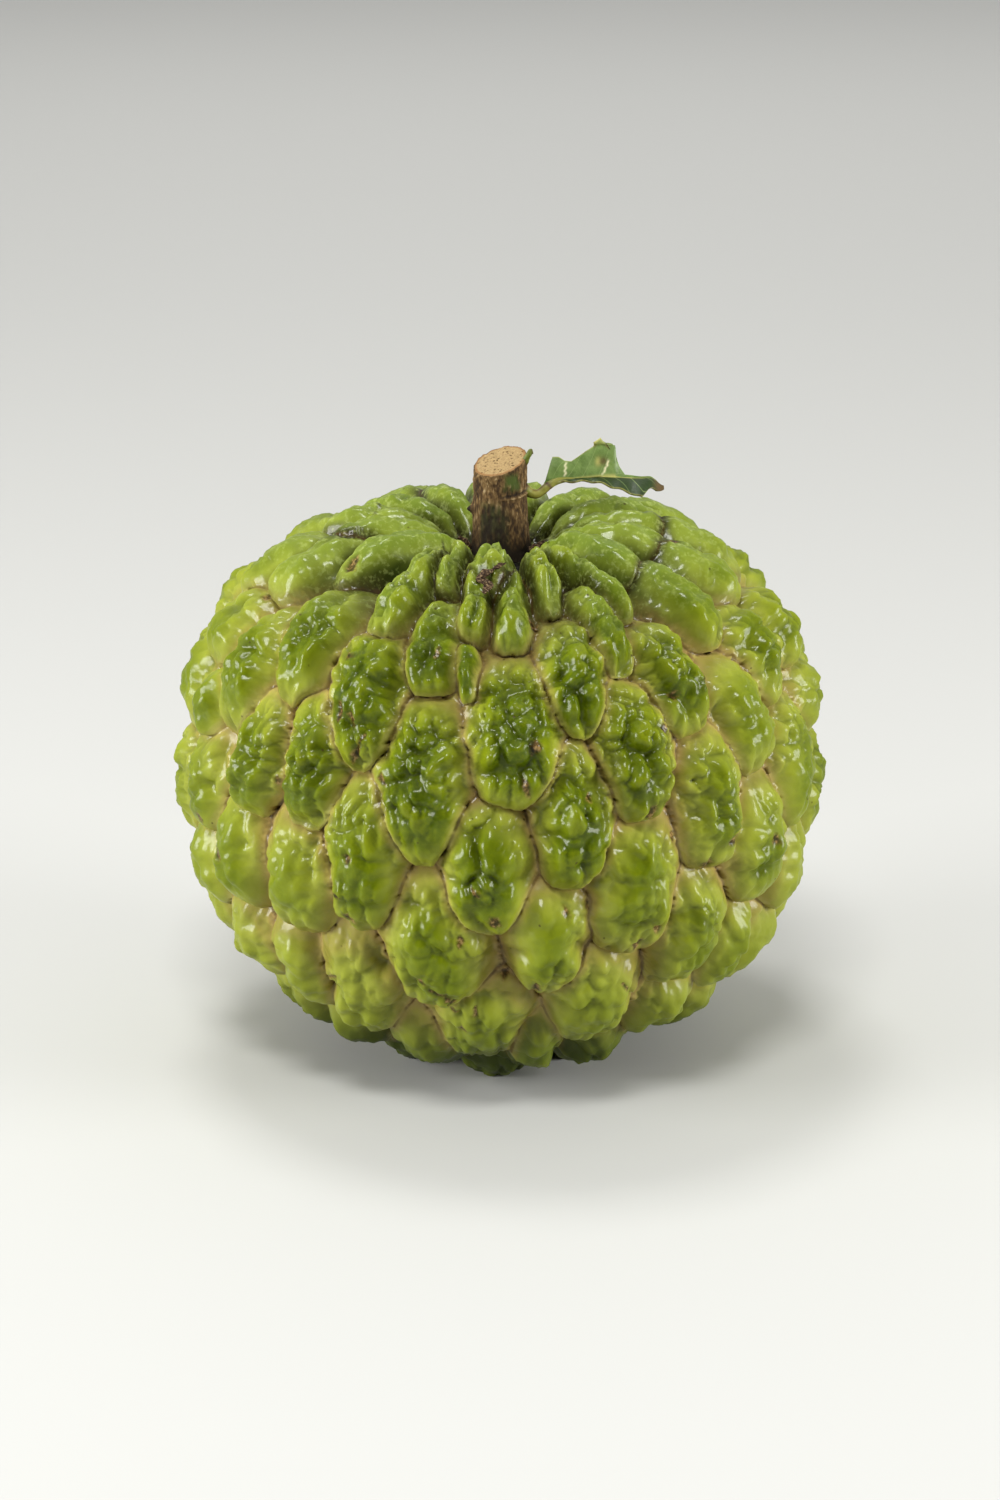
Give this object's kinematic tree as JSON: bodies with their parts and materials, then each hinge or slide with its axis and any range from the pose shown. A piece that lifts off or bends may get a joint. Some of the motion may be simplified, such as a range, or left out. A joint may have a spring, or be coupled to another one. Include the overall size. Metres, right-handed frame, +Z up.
{
  "type": "custard apple",
  "caption": "Whole custard apple with a knobbly green skin, a short cut stalk, a scrap of leaf and dried flower remains, resting on its flat underside.",
  "frame": {"origin": "middle of the object's box, on the surface that the fruit rests on", "axes": "+Z up along the stalk, -Y towards the front, where the dried style lies, +X towards the side that the leaf grows to"},
  "size_m": [0.089, 0.089, 0.0838],
  "materials": {
    "fruit_skin": "waxy satin",
    "stalk_bark": "rough bark",
    "green_shoot": "satin",
    "leaf": "satin",
    "dried_flower": "matte"
  },
  "bodies": {
    "root": {"fruit": "fruit_skin", "stalk": "stalk_bark", "stalk_bud": "green_shoot", "leaf_stalk": "green_shoot", "leaf_blade": "leaf", "dried_sepal_left": "dried_flower", "dried_sepal_right": "dried_flower", "dried_style": "dried_flower"}
  },
  "joints": []
}
